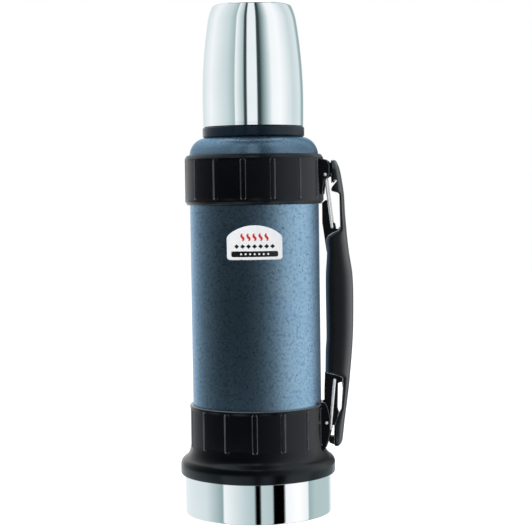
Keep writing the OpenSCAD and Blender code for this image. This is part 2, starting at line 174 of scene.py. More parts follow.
def lathe(name, outline, body, turns=384):
    """A solid of revolution about Z from a closed outline of (r, z)."""
    faces = [f for f in grid_faces(len(outline), turns, True, True)
             if max(outline[f[0] // turns][0], outline[f[2] // turns][0]) > 0]
    return build(name, turned(outline, turns), faces, body)


def slab(name, outline, y_low, y_high, body, bevel=0.35):
    """A flat plate in the handle's plane from an outline of (x, z), with rounded edges."""
    n = len(outline)
    verts = [(x, y_low, z) for x, z in outline] + [(x, y_high, z) for x, z in outline]
    faces = [tuple(range(n)), tuple(range(2 * n - 1, n - 1, -1))]
    faces += [(i, (i + 1) % n, n + (i + 1) % n, n + i) for i in range(n)]
    obj = build(name, verts, faces, body)
    if bevel:
        round_edges(obj, bevel)
    return obj


def round_edges(obj, width, angle=40):
    """Rounds the edges that turn by more than angle degrees."""
    bevel = obj.modifiers.new("round_edges", "BEVEL")
    bevel.width = width * MM
    bevel.segments = 3
    bevel.limit_method = "ANGLE"
    bevel.angle_limit = math.radians(angle)
    bevel.harden_normals = False


def sweep(name, points, radius, body):
    """A round wire along a path, with domed ends."""
    sides, dome = 20, (1.4, 1.1, 0.8, 0.4)
    last = len(points) - 1
    tangents = [(points[min(i + 1, last)] - points[max(i - 1, 0)]).normalized() for i in range(last + 1)]
    side = tangents[0].orthogonal().normalized()
    rings = []
    for point, tangent in zip(points, tangents):
        side = (side - tangent * side.dot(tangent)).normalized()
        rings.append((point, side.copy(), tangent.cross(side)))
    sections = [(rings[0][0] - tangents[0] * radius * math.sin(a), rings[0], radius * math.cos(a))
                for a in dome]
    sections += [(ring[0], ring, radius) for ring in rings]
    sections += [(rings[-1][0] + tangents[-1] * radius * math.sin(a), rings[-1], radius * math.cos(a))
                 for a in reversed(dome)]
    verts = [centre + size * (ring[1] * math.cos(TAU * k / sides) + ring[2] * math.sin(TAU * k / sides))
             for centre, ring, size in sections for k in range(sides)]
    faces = grid_faces(len(sections), sides, False, True) + end_caps(len(verts), sides)
    return build(name, verts, faces, body, 40)


def bent(points, radius):
    """An open path with its inner corners rounded."""
    path = [Vector(points[0])]
    for i in range(1, len(points) - 1):
        here = Vector(points[i])
        before, after = Vector(points[i - 1]) - here, Vector(points[i + 1]) - here
        reach = min(radius, 0.45 * before.length, 0.45 * after.length)
        a, b = here + before.normalized() * reach, here + after.normalized() * reach
        for k in range(7):
            t = k / 6
            path.append(a * (1 - t) ** 2 + here * 2 * t * (1 - t) + b * t ** 2)
    path.append(Vector(points[-1]))
    return path


# ---------------------------------------------------------------- materials

class Tree:
    """A node tree, emptied, with short cuts for making and joining its nodes."""

    def __init__(self, tree):
        self.tree = tree
        tree.nodes.clear()

    def node(self, kind, **values):
        made = self.tree.nodes.new(kind)
        for key, value in values.items():
            setattr(made, key, value)
        return made

    def link(self, a, b):
        self.tree.links.new(a, b)

    def mix(self, factor, a, b):
        """Two colours mixed. Each is a tuple or the output of a node."""
        mix = self.node("ShaderNodeMix", data_type="RGBA")
        self.link(factor, mix.inputs["Factor"])
        for socket, value in ((mix.inputs[6], a), (mix.inputs[7], b)):
            if isinstance(value, tuple):
                socket.default_value = (*value[:3], 1)
            else:
                self.link(value, socket)
        return mix.outputs[2]


class Look(Tree):
    """A material with one principled shader."""

    def __init__(self, name, base, roughness, metallic=0.0, **sockets):
        self.material = bpy.data.materials.new(name)
        self.material.use_nodes = True
        super().__init__(self.material.node_tree)
        self.shader = self.node("ShaderNodeBsdfPrincipled")
        output = self.node("ShaderNodeOutputMaterial")
        self.link(self.shader.outputs["BSDF"], output.inputs["Surface"])
        self.set("Base Color", (*base, 1))
        self.set("Roughness", roughness)
        self.set("Metallic", metallic)
        for socket, value in sockets.items():
            self.set(socket.replace("_", " "), value)
        self.place = self.node("ShaderNodeTexCoord").outputs["Object"]

    def set(self, socket, value):
        self.shader.inputs[socket].default_value = value

    def noise(self, scale, detail=3.0, stretch=(1, 1, 1)):
        """Cloudy noise, finer along an axis whose stretch is larger."""
        mapping = self.node("ShaderNodeMapping")
        mapping.inputs["Scale"].default_value = stretch
        self.link(self.place, mapping.inputs["Vector"])
        noise = self.node("ShaderNodeTexNoise")
        noise.inputs["Scale"].default_value = scale
        noise.inputs["Detail"].default_value = detail
        self.link(mapping.outputs["Vector"], noise.inputs["Vector"])
        return noise.outputs["Fac"]

    def cells(self, scale, feature="F1"):
        cells = self.node("ShaderNodeTexVoronoi", feature=feature)
        cells.inputs["Scale"].default_value = scale
        self.link(self.place, cells.inputs["Vector"])
        return cells.outputs["Distance"]

    def remap(self, value, low, high, to_low, to_high):
        remap = self.node("ShaderNodeMapRange")
        self.link(value, remap.inputs["Value"])
        numbers = {"From Min": low, "From Max": high, "To Min": to_low, "To Max": to_high}
        for socket, number in numbers.items():
            remap.inputs[socket].default_value = number
        return remap.outputs["Result"]

    def clouds(self, scale, detail=3.0, to_low=0, to_high=1):
        """Noise spread out to reach from to_low to to_high."""
        return self.remap(self.noise(scale, detail), 0.3, 0.7, to_low, to_high)

    def math(self, operation, a, b):
        node = self.node("ShaderNodeMath", operation=operation)
        for socket, value in zip(node.inputs, (a, b)):
            if isinstance(value, (int, float)):
                socket.default_value = value
            else:
                self.link(value, socket)
        return node.outputs[0]

    def colour(self, value):
        self.link(value, self.shader.inputs["Base Color"])

    def rough(self, value):
        self.link(value, self.shader.inputs["Roughness"])

    def bump(self, height, distance, strength):
        """Raised and sunken places, distance in millimetres deep."""
        bump = self.node("ShaderNodeBump")
        bump.inputs["Strength"].default_value = strength
        bump.inputs["Distance"].default_value = distance * MM
        self.link(height, bump.inputs["Height"])
        self.link(bump.outputs["Normal"], self.shader.inputs["Normal"])


def darker(base, share):
    """The colour at this share of its brightness."""
    return tuple(c * share for c in base)


def chrome(name, base, roughness, grain=(1, 1, 60), metallic=1.0):
    """Polished steel: faint drawing lines round the piece and a little cloudiness in the gloss."""
    look = Look(name, base, roughness, metallic)
    cloud = look.noise(45, 4)
    look.rough(look.remap(cloud, 0.3, 0.7, roughness * 0.8, roughness * 1.3))
    look.colour(look.mix(look.remap(cloud, 0.3, 0.7, 0, 1), base, darker(base, 0.97)))
    look.bump(look.noise(90, 2, grain), 0.004, 0.35)
    return look.material


def hammered_blue():
    """Hammer-finish enamel: blue metallic paint in small cells with dark pinholes, with painted shade on the
    shoulder: darkest low on it and less towards its top, where the overhead light falls.
    """
    look = Look("hammered_blue", (0.2, 0.33, 0.47), 0.3, 1.0, Coat_Weight=0.12, Coat_Roughness=0.12,
                Specular_Tint=(0.78, 0.88, 1, 1))
    ripple = look.cells(620, "SMOOTH_F1")
    fine = look.noise(900, 2)
    seams = look.remap(ripple, 0.35, 0.75, 0, 1)
    pins = look.remap(look.cells(300), 0.1, 0.17, 1, 0)
    chosen = look.remap(look.noise(170, 1), 0.53, 0.57, 0, 1)
    pits = look.math("MULTIPLY", pins, chosen)
    paint = look.mix(look.clouds(70, 4), (0.26, 0.44, 0.61), (0.3, 0.475, 0.63))
    paint = look.mix(look.math("MULTIPLY", seams, 0.6), paint, (0.11, 0.21, 0.34))
    place = look.node("ShaderNodeSeparateXYZ")
    look.link(look.place, place.inputs[0])
    high = place.outputs["Z"]
    # painted shade: the paint is darkened by height on the shoulder, most from 244.5 to 251 mm and less
    # above, where the overhead light falls on it
    painted_shoulder_shade = look.math("SUBTRACT", look.remap(high, 0.244, 0.2455, 0, 0.85),
                     look.remap(high, 0.251, 0.2575, 0, 0.6))
    paint = look.mix(painted_shoulder_shade, paint, (0.1, 0.15, 0.21))
    look.colour(look.mix(pits, paint, (0.012, 0.02, 0.035)))
    look.rough(look.remap(fine, 0.3, 0.7, 0.26, 0.36))
    height = look.math("ADD", look.math("MULTIPLY", ripple, -1.0), look.math("MULTIPLY", fine, 0.25))
    look.bump(look.math("SUBTRACT", height, pits), 0.08, 0.7)
    return look.material


def moulded(name, base, roughness, grain=1400, depth=0.02, **sockets):
    """Moulded plastic: fine spark-eroded grain, slightly uneven gloss and tone."""
    look = Look(name, base, roughness, 0.0, **sockets)
    look.colour(look.mix(look.clouds(60, 5), base, darker(base, 1.35)))
    look.rough(look.clouds(140, 3, roughness * 0.88, roughness * 1.15))
    look.bump(look.noise(grain, 2), depth, 0.5)
    return look.material


def rubber(name, base):
    """Dull seal or cushion rubber with a powdery tone."""
    look = Look(name, base, 0.6)
    look.colour(look.mix(look.clouds(200, 4), base, darker(base, 0.75)))
    look.rough(look.clouds(500, 2, 0.5, 0.7))
    look.bump(look.noise(2200, 2), 0.015, 0.4)
    return look.material


def foam():
    """White foam made of small beads."""
    look = Look("white_foam", (0.86, 0.85, 0.8), 0.8)
    beads = look.cells(420)
    look.colour(look.mix(look.remap(beads, 0.2, 0.7, 0, 1), (0.9, 0.89, 0.85), (0.72, 0.71, 0.66)))
    look.rough(look.clouds(300, 3, 0.7, 0.9))
    look.bump(look.math("MULTIPLY", beads, -1.0), 0.3, 0.6)
    return look.material


def foil():
    """Creased copper foil."""
    look = Look("copper_foil", (0.78, 0.39, 0.22), 0.28, 1.0)
    look.colour(look.mix(look.clouds(40, 4), (0.8, 0.42, 0.25), (0.62, 0.27, 0.15)))
    look.rough(look.clouds(120, 3, 0.2, 0.4))
    look.bump(look.cells(90, "DISTANCE_TO_EDGE"), 0.5, 0.4)
    return look.material


def brushed(name, base, roughness):
    """Plain stainless steel with lines drawn round it."""
    look = Look(name, base, roughness, 1.0)
    lines = look.noise(60, 4, (1, 1, 40))
    look.colour(look.mix(look.remap(lines, 0.35, 0.65, 0, 1), base, darker(base, 0.82)))
    look.rough(look.remap(lines, 0.3, 0.7, roughness * 0.75, roughness * 1.3))
    look.bump(lines, 0.02, 0.5)
    return look.material


def enamel(name, base):
    """Printed or enamelled label surface with a slightly uneven gloss."""
    roughness = 0.28
    look = Look(name, base, roughness, 0.0, Coat_Weight=0.3, Coat_Roughness=0.08)
    look.colour(look.mix(look.clouds(150, 3), base, darker(base, 0.94)))
    look.rough(look.clouds(400, 3, roughness * 0.85, roughness * 1.2))
    look.bump(look.noise(700, 2), 0.006, 0.4)
    return look.material


CHROME = chrome("chrome_steel", (0.98, 0.985, 0.985), 0.045)
WIRE = chrome("wire_steel", (0.95, 0.955, 0.96), 0.08, (1, 1, 1), 0.62)
STEEL = brushed("plain_steel", (0.62, 0.62, 0.61), 0.3)
BLUE = hammered_blue()
BLACK = moulded("black_plastic", (0.001, 0.0011, 0.0016), 0.22, 1400, 0.012, Specular_IOR_Level=0.4,
              Specular_Tint=(0.8, 0.9, 1, 1))
NAVY = moulded("neck_plastic", (0.003, 0.006, 0.011), 0.2, 900, 0.008, Specular_IOR_Level=0.4,
             Specular_Tint=(0.7, 0.88, 1, 1))
# painted highlight: this edge material is much paler than the black plastic, to show the glint along the
# groove edges and the collar's lip
EDGE = moulded("edges_painted_highlight", (0.055, 0.06, 0.07), 0.16, 1400, 0.004, Specular_IOR_Level=1.0)
GRIP = moulded("grip_plastic", (0.0012, 0.0014, 0.002), 0.24, 1100, 0.02, Specular_IOR_Level=1.0,
             Specular_Tint=(0.85, 0.92, 1, 1), Coat_Weight=0.8, Coat_Roughness=0.2)
PLATE = moulded("handle_plate", (0.0015, 0.0017, 0.0022), 0.28, 1600, 0.015, Specular_IOR_Level=0.4)
GREY = moulded("grey_plastic", (0.12, 0.125, 0.13), 0.42)
FOAM = foam()
PAD = rubber("foam_rubber", (0.05, 0.05, 0.05))
SEAL = rubber("seal_rubber", (0.42, 0.42, 0.4))
FOIL = foil()
WHITE = enamel("label_white", (0.86, 0.87, 0.89))
RED = enamel("label_red", (0.6, 0.035, 0.03))
INK = enamel("label_black", (0.008, 0.008, 0.009))


def wear(obj, material):
    """Gives a piece its only material and, for a new piece, its slot."""
    obj.data.materials.clear()
    obj.data.materials.append(material)
    return obj


# ---------------------------------------------------------------- base, body and cup

BODY_R, BASE_R = 44.5, 50.7
SHOULDER_R, SHOULDER_Z = 33, 246
CUP_RIM, CUP_TOP = 266.3, 349.3

base_outline = rounded(
    [(0, 1.0), (38, 1.0), (39.2, 0.0), (BASE_R, 0), (BASE_R, 1.6), (BASE_R, 26.4), (BASE_R, 27.0),
     (BASE_R - 1, 27.0), (BASE_R - 1, 33.8), (BASE_R - 2, 33.8), (BASE_R - 2, 26), (BASE_R - 1, 26),
     (BASE_R - 1, 1.8), (0, 1.8)],
    [0, 0.8, 0.5, 1.1, 0, 0, 0.25, 0.1, 0.2, 0.2, 0.1, 0.1, 1.0, 0])
base = wear(lathe("base_chrome", base_outline, "flask"), CHROME)
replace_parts(base, "base_cup")


def shoulder(width, height, angles):
    """A quarter of an oval between the body's wall and its neck."""
    return [(SHOULDER_R + width * math.cos(math.radians(a)), SHOULDER_Z + height * math.sin(math.radians(a)))
            for a in angles]


body_outline = ([(BODY_R, 9.0), (BODY_R, 60), (BODY_R, 120), (BODY_R, 180)]
                + shoulder(11.5, 13, range(0, 91, 5))
                + [(27.9, 259), (27.5, 259.4), (27.5, 284), (26.7, 284), (26.7, 258.2)]
                + shoulder(10.7, 12.2, range(90, -1, -6)) + [(43.7, 9.0)])
shell = wear(lathe("painted_body", body_outline, "flask"), BLUE)
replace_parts(shell, "outer_shell")


def cup_outline(inset):
    """The cup's outside from its rim to its top, moved inwards.

    It is straight at the foot, then follows three curves: the long side, the bend and the top's edge.
    """
    foot_r, side_r, side_low, side_high = 34.5, 34.7, 284, 338
    side, bend, edge = 349, 40, 2
    side_turn = math.asin((side_high - side_low) / side)
    bend_turn = 24
    points = [(foot_r - inset, z) for z in (CUP_RIM, 266.5, 266.8, 267.3, 268)]
    for i in range(20):
        a = side_turn * i / 19
        points.append((side_r - inset - side * (1 - math.cos(a)), side_low + side * math.sin(a)))
    bend_r = side_r - side * (1 - math.cos(side_turn))
    centre = (bend_r - bend * math.cos(side_turn), side_high - bend * math.sin(side_turn))
    points += arc(centre, bend - inset, math.degrees(side_turn) + 1.5, bend_turn, 10)
    corner = centre[0] + (bend - edge) * math.cos(math.radians(bend_turn))
    points += arc((corner, CUP_TOP - edge), edge - inset / 2, bend_turn + 8, 90, 8)
    return points


outer, inner = cup_outline(0), cup_outline(0.8)
top_r = outer[-1][0]
cup_points = ([(34.1, CUP_RIM), (34.35, CUP_RIM + 0.04)] + outer[1:]
              + [(top_r - 1.5, CUP_TOP - 0.05), (top_r - 2.6, CUP_TOP - 0.4), (0, CUP_TOP - 0.45),
                 (0, CUP_TOP - 1.2), (top_r - 3, CUP_TOP - 1.2)]
              + [(r, min(z, CUP_TOP - 1.1)) for r, z in reversed(inner)])
cup = wear(lathe("cup_chrome", cup_points, "cup"), CHROME)
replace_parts(cup, "cup_shell")


# ---------------------------------------------------------------- ribbed collars

PANELS, PANEL_END = 15, 3.2  # a panel reaches this far above and below its grooves
PANEL_FLAT = 0.4  # how far the middle of a panel lies below a full round
GROOVE_HALF, GROOVE_DEPTH, GROOVE_SLOPE = 2.0, 1.15, 0.7
LUG_DEGREES = 11  # no groove is cut this near to the lug
POCKET_HALF, POCKET_X = 5.6, 45.7
COLLAR_BORE, THINNEST_R = 44.6, 45.4
UPPER_R, UPPER_LOW, UPPER_HIGH = 47.9, 213.0, 247.1
LOWER_R, SKIRT_R, SKIRT_Z, LOWER_HIGH, LOWER_LIP = 46.9, 53.7, 27.2, 75.3, 74.6
UPPER_GROOVES, LOWER_GROOVES = (218.2, 242.1), (48.4, 71.6)


def collar_angles(radius, phase):
    """Where the points of a collar go: close together at each groove and at the pocket's sides."""
    angles = set()
    for i in range(PANELS):
        centre = math.radians(phase - 90) + TAU * i / PANELS
        for offset in (0, 0.9, 1.15, 1.35, 1.5, 1.65, 1.8, 1.95, 2.15, 2.6, 3.6, 5.2, 7.2, 9.0):
            for side in (-1, 1):
                angles.add(round((centre + side * offset / radius) % TAU, 6))
    for y in (1.5, 3.5, 5.3, 5.5, 5.6, 5.75, 6.0):
        for side in (-1, 1):
            angles.add(round((side * y / radius) % TAU, 6))
    return sorted(angles)


def collar(name, outside, inside, radius, phase, groove_z, pocket_z):
    """A collar with round-ended grooves between slightly flattened panels, and a pocket at the lug."""
    half_panel = math.pi * radius / PANELS
    angles = collar_angles(radius, phase)
    centres = [(phase - 90 + 360 * i / PANELS) % 360 for i in range(PANELS)]
    grooved = [c for c in centres if min(c, 360 - c) > LUG_DEGREES]
    z_low, z_high = groove_z

    def depth_at(angle, z):
        """How far the outside lies below a full round."""
        degrees = math.degrees(angle)
        nearest = min(centres, key=lambda c: abs((degrees - c + 180) % 360 - 180))
        off = abs((degrees - nearest + 180) % 360 - 180) / 360 * TAU * radius
        up = max(z_low - z, z - z_high, 0.0)
        inside_panel = ease((z - z_low + PANEL_END) / 3) * ease((z_high + PANEL_END - z) / 3)
        depth = PANEL_FLAT * inside_panel * (1 - ((half_panel - off) / half_panel) ** 2)
        if nearest in grooved:
            depth += GROOVE_DEPTH * ease((GROOVE_HALF - math.hypot(off, up)) / GROOVE_SLOPE)
        return depth

    sections = outside + inside
    verts = []
    for row, (r, z) in enumerate(sections):
        for angle in angles:
            size = r
            if row < len(outside):
                size -= min(depth_at(angle, z), r - THINNEST_R)
                y = abs(math.sin(angle)) * radius
                if math.cos(angle) > 0 and pocket_z[0] < z < pocket_z[1]:
                    floor = POCKET_X / math.cos(angle)
                    blend = ease((POCKET_HALF + 0.12 - y) / 0.2)
                    size = min(size, size + (floor - size) * blend)
            verts.append((size * math.cos(angle), size * math.sin(angle), z))
    return build(name, verts, grid_faces(len(sections), len(angles), True, True), "flask", 38)


def steps(start, end, size):
    """Even steps from start to end, each about this size."""
    count = max(1, round(abs(end - start) / size))
    return [start + (end - start) * i / count for i in range(count + 1)]


def paint_edge_highlights(obj, groove_z, lip_z=math.inf):
    """Gives the groove edges, and the upward faces of the lip above lip_z, a second material: glossier than
    the black plastic, and paler as a painted highlight.
    """
    obj.data.materials.append(EDGE)
    for face in obj.data.polygons:
        x, y, z = face.center / MM
        sideways = abs(face.normal.y * x - face.normal.x * y) / math.hypot(x, y)
        in_groove = groove_z[0] - 3 < z < groove_z[1] + 3 and 0.4 < sideways < 0.97
        face.material_index = in_groove or (z > lip_z and face.normal.z > 0.2)
    return obj


upper_wall = sorted(set(steps(215.7, 219.2, 0.35) + steps(219.2, 241, 3) + steps(241, 244.2, 0.35)
                        + [221.9, 222.05, 242.95, 243.1]))
upper_outside = ([(46.0, UPPER_LOW), (46.35, 213.25), (46.75, 213.75), (47.25, 214.5), (47.65, 215.1),
                  (47.83, 215.4)]
                 + [(UPPER_R, z) for z in upper_wall]
                 + [(47.83, 244.5), (47.65, 245.0), (47.25, 245.7), (46.75, 246.4), (46.35, 246.9),
                    (46.0, UPPER_HIGH)])
upper = collar("upper_collar_ribbed", upper_outside, [(COLLAR_BORE, UPPER_HIGH), (COLLAR_BORE, UPPER_LOW)],
               UPPER_R, 23.5, UPPER_GROOVES, (222, 243))
wear(upper, BLACK)
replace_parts(paint_edge_highlights(upper, UPPER_GROOVES), "upper_collar")

# Below its grooves the lower collar flares out in a hollow curve and ends in a bead, the skirt
COVE_R, COVE_TURN = 9, math.radians(58)
cove_c = (LOWER_R + COVE_R, 46)
bead_r = (SKIRT_R - cove_c[0] + COVE_R * math.cos(COVE_TURN)) / (1 - math.cos(COVE_TURN))
bead_c = (cove_c[0] - (COVE_R + bead_r) * math.cos(COVE_TURN),
          cove_c[1] - (COVE_R + bead_r) * math.sin(COVE_TURN))
lower_wall = sorted(set(steps(46, 49.4, 0.35) + steps(49.4, 70.6, 3) + steps(70.6, 74.3, 0.35)), reverse=True)
lower_outside = ([(45.6, LOWER_HIGH), (46.1, 75.25), (46.5, 75.05), (46.8, 74.7)]
                 + [(LOWER_R, z) for z in lower_wall]
                 + arc(cove_c, COVE_R, 182, 238, 16)
                 + arc(bead_c, bead_r, 52, 0, 14)
                 + [(53.68, 28.2), (53.5, 27.7), (53.2, 27.35), (52.8, SKIRT_Z)])
lower_inside = [(49.8, SKIRT_Z), (49.8, 34.1), (COLLAR_BORE, 34.1), (COLLAR_BORE, LOWER_HIGH)]
lower = collar("lower_collar_ribbed", lower_outside, lower_inside, LOWER_R, 6, LOWER_GROOVES, (44.5, 80))
wear(lower, BLACK)
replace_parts(paint_edge_highlights(lower, LOWER_GROOVES, LOWER_LIP), "lower_collar")


# ---------------------------------------------------------------- lugs and pins

UPPER_PIN, LOWER_PIN, PIN_R, PIN_SIDES = (50.2, 232.8), (49.15, 62.5), 1.3, 40
EAR_IN, EAR_OUT = 5.6, 8.2

upper_ear = rounded([(45.2, 219), (48, 219.5), (49.2, 230.2), (51.0, 230.3), (52.8, 232.8), (52.8, 239.6),
                     (51.6, 242), (49.4, 243.4), (45.2, 243.4)],
                    [0, 0.8, 1.2, 1.6, 1.8, 1.6, 1.4, 1.2, 0])
lower_ear = rounded([(45.2, 41), (47.6, 43.6), (50, 50), (51.4, 56.5), (51.4, 66), (49.8, 73), (48.2, 76.2),
                     (45.2, 76.6)],
                    [0, 2, 3, 4, 4, 2, 1.5, 0])
for place, ear in (("upper", upper_ear), ("lower", lower_ear)):
    for hand, side in (("near", -1), ("far", 1)):
        low, high = sorted((side * EAR_IN, side * EAR_OUT))
        wear(slab(f"{place}_lug_ear_{hand}", ear, low, high, "flask", 0.45), BLACK)

for place, pin in (("upper", UPPER_PIN), ("lower", LOWER_PIN)):
    half = EAR_OUT - 0.1
    profile = [(0.0, half + 0.35), (0.6, half + 0.3), (1.05, half + 0.12), (PIN_R, half - 0.25), (PIN_R, 0)]
    profile += [(r, -y) for r, y in reversed(profile[:-1])]
    verts = [(pin[0] + x, y, pin[1] + z) for x, z, y in turned(profile, PIN_SIDES)]
    faces = grid_faces(len(profile), PIN_SIDES, False, True)
    made = wear(build(f"{place}_pin_steel", verts, faces, "flask"), WIRE)
    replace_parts(made, f"{place}_lug_pin")


# ---------------------------------------------------------------- handle

GRIP_LOW, GRIP_HIGH, TAIL_TOP, HEAD_LOW = 45.8, 242.7, 97, 188
GRIP_HALF_Y, GRIP_SIDES = 8, 72
GRIP_SQUARE = 0.64  # 1 would make the sections ellipses, and 0 rectangles
ROOM_HALF_Y = 5.65

# The grip's outer and inner sides as (z, x). The tail and the head leave room for the hooks and the gates.
GRIP_OUT = [(GRIP_LOW, 57.3), (47.5, 58.5), (50, 59.1), (63, 60.7), (88, 64), (113, 66.5), (133, 67.5),
            (162, 67.4), (181, 64.8), (204, 62.6), (220, 61.8), (229, 60.6), (237, 59), (243, 56.6)]
GRIP_IN = [(TAIL_TOP, 48.0), (113, 48.4), (121, 49), (162, 49), (180, 50.1), (HEAD_LOW, 49.6)]
TAIL_IN = [(GRIP_LOW, 53.7), (60.4, 53.6), (66, 55.9), (68.6, 56.9), (72, 58.9), (80, 59.6), (86, 60.0),
           (93.4, 59.8), (94.6, 57.6), (95.6, 53), (96.6, 49), (TAIL_TOP, 48.0)]
HEAD_IN = [(HEAD_LOW, 49.6), (191, 51), (193, 54.3), (194.6, 58.2), (196.6, 59.5), (219, 59.2), (220.2, 58.2),
           (221.2, 54.4), (221.8, 53.5), (243, 53.4)]


def grip_edges(z):
    """Inner and outer x of the grip at z."""
    if z < TAIL_TOP:
        low = straight_table(TAIL_IN, z)
    elif z > HEAD_LOW:
        low = straight_table(HEAD_IN, z)
    else:
        low = smooth_table(GRIP_IN, z)
    return low, smooth_table(GRIP_OUT, z)


def round_end(distance, radius):
    """0 at a rounded end and 1 from radius inwards."""
    return math.sqrt(max(0, 1 - (1 - min(distance, radius) / radius) ** 2))


def grip_mesh():
    """The grip as level sections between a circle and a rectangle, narrowed at both ends."""
    levels = sorted(set([GRIP_LOW, 45.95, 46.2, 46.6, 47.2, 48, 49] + steps(50, 240, 2)
                        + [241, 241.7, 242.2, 242.5, GRIP_HIGH]
                        + [z for z, _ in TAIL_IN + HEAD_IN if 46 < z < 242]
                        + [94, 95, 96.2, 189.5, 192, 193.8, 195.6, 219.6, 220.7, 221.5]))
    verts = []
    for z in levels:
        low, high = grip_edges(z)
        middle, half_x = (low + high) / 2, (high - low) / 2
        end = min(z - GRIP_LOW, GRIP_HIGH - z)
        half_y = GRIP_HALF_Y * (0.55 + 0.45 * round_end(end, 6))
        half_x *= 0.6 + 0.4 * round_end(end, 1.6)
        for k in range(GRIP_SIDES):
            c, s = math.cos(TAU * k / GRIP_SIDES), math.sin(TAU * k / GRIP_SIDES)
            verts.append((middle + half_x * math.copysign(abs(c) ** GRIP_SQUARE, c),
                          half_y * math.copysign(abs(s) ** GRIP_SQUARE, s), z))
    return verts, grid_faces(len(levels), GRIP_SIDES, False, True) + end_caps(len(verts), GRIP_SIDES)


def cut(obj, cutters):
    """Cuts closed meshes out of a piece and keeps the result as its own mesh."""
    for cutter in cutters:
        modifier = obj.modifiers.new("cut", "BOOLEAN")
        modifier.operation = "DIFFERENCE"
        modifier.solver = "EXACT"
        modifier.object = cutter
    bpy.context.view_layer.update()
    result = bpy.data.meshes.new_from_object(obj.evaluated_get(bpy.context.evaluated_depsgraph_get()))
    obj.modifiers.clear()
    obj.data = result
    bm = bmesh.new()
    bm.from_mesh(result)
    sharpen(bm, 32)
    bm.to_mesh(result)
    bm.free()
    for cutter in cutters:
        bpy.data.objects.remove(cutter)
    return obj


verts, faces = grip_mesh()
grip = build("handle_grip_moulded", verts, faces, "handle")
slot = rounded([(49, 221.6), (53.4, 222.4), (54.3, 223.9), (58.0, 228.3), (57.4, 229.5), (56.2, 229.1),
                (54.8, 227.4), (53.2, 226.6), (49, 226.6)], 0.3, 3)
upper_room = [(48, 219.5), (55.7, 219.5), (55.7, 231.3), (48, 231.3)]
lower_room = [(48, 56.2), (56.3, 56.2), (56.3, 69), (48, 69)]
cut(grip, [slab("cut_slot", slot, -12, 12, "handle", 0),
           slab("cut_room_up", upper_room, -ROOM_HALF_Y, ROOM_HALF_Y, "handle", 0),
           slab("cut_room_down", lower_room, -ROOM_HALF_Y, ROOM_HALF_Y, "handle", 0)])
round_edges(grip, 0.3, 45)
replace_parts(wear(grip, GRIP), "handle_grip")
grip.visible_glossy = False  # the rough paint beside it shows no clear image of it

plate = wear(nodes["handle_core"], PLATE)
weld = plate.modifiers.new("weld", "WELD")
weld.merge_threshold = 1e-6
flat = plate.modifiers.new("flat", "DECIMATE")
flat.decimate_type = "DISSOLVE"
flat.angle_limit = math.radians(1)
round_edges(plate, 0.3)
plate.visible_glossy = False


# ---------------------------------------------------------------- gates

WIRE_R, WIRE_BEND, LEG_Y, HINGE_Y = 0.95, 1.5, 4.25, 0.5


def gate(name, node, hinge, end, body):
    """A bent wire: two legs joined at the closed end, turned in at the hinge."""
    path = bent([(hinge[0], -HINGE_Y, hinge[1]), (hinge[0], -LEG_Y, hinge[1]), (end[0], -LEG_Y, end[1]),
                 (end[0], LEG_Y, end[1]), (hinge[0], LEG_Y, hinge[1]), (hinge[0], HINGE_Y, hinge[1])],
                WIRE_BEND)
    dense = [path[0]]
    for a, b in zip(path, path[1:]):
        parts = max(1, int((b - a).length / 2))
        dense += [a + (b - a) * (k + 1) / parts for k in range(parts)]
    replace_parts(wear(sweep(name, dense, WIRE_R, body), WIRE), node)


gate("upper_gate_wire", "upper_gate", (54, 197), (50.2, 229.3), "upper_wire")
gate("lower_gate_wire", "lower_gate", (54.6, 91.5), (51.2, 57.9), "lower_wire")


# ---------------------------------------------------------------- badge

BADGE_LOW, BADGE_HALF, BADGE_CORNER, BADGE_SHOULDER = 176.5, 19.2, 2.4, 1.6
BADGE_ARC, BADGE_ARC_Z = 28.7, 170.8  # radius and middle of the arch
BADGE_BACK, BADGE_EDGE, BADGE_DOME, BADGE_ROUND = 0.02, 0.12, 0.5, 1.1


def badge_point(u, v, height):
    """A point on the body's face at u to the right of the badge's middle and v up, raised by height."""
    angle = math.radians(-90) + VIEW_TURN + u / (BODY_R + 0.35)
    r = BODY_R + height
    return (r * math.cos(angle), r * math.sin(angle), v)


def badge_span(u):
    """Lowest and highest point of the badge at u."""
    inwards = BADGE_HALF - abs(u)
    low = BADGE_LOW + BADGE_CORNER * (1 - round_end(inwards, BADGE_CORNER))
    high = (BADGE_ARC_Z + math.sqrt(BADGE_ARC**2 - u * u)
            - BADGE_SHOULDER * (1 - round_end(inwards, BADGE_SHOULDER)))
    return low, high


def badge_mesh():
    """The badge's raised face with rounded edges, its flat back and its rim."""
    columns = [-BADGE_HALF + share for share in (0.001, 0.1, 0.3, 0.7, 1.2, 1.9, 2.7)] + steps(-15.6, 0, 1)
    columns = columns + [-c for c in reversed(columns[:-1])]
    rows = [0, 0.006, 0.02, 0.045, 0.09] + steps(0.15, 0.85, 0.07) + [0.91, 0.955, 0.98, 0.994, 1]
    verts = []
    for v_share in rows:
        for u in columns:
            low, high = badge_span(u)
            v = low + (high - low) * v_share
            edge = min(v - low, high - v, BADGE_HALF - abs(u))
            verts.append(badge_point(u, v, BADGE_EDGE + BADGE_DOME * round_end(edge, BADGE_ROUND)))
    count = len(verts)
    for v_share in rows:
        for u in columns:
            low, high = badge_span(u)
            verts.append(badge_point(u, low + (high - low) * v_share, BADGE_BACK))
    n, m = len(rows), len(columns)
    faces = grid_faces(n, m, False, False) + grid_faces(n, m, False, False, count)
    rim = list(range(m)) + [i * m + m - 1 for i in range(1, n)]
    rim += [(n - 1) * m + k for k in range(m - 2, -1, -1)] + [i * m for i in range(n - 2, 0, -1)]
    faces += [(a, b, count + b, count + a) for a, b in zip(rim, rim[1:] + rim[:1])]
    return verts, faces


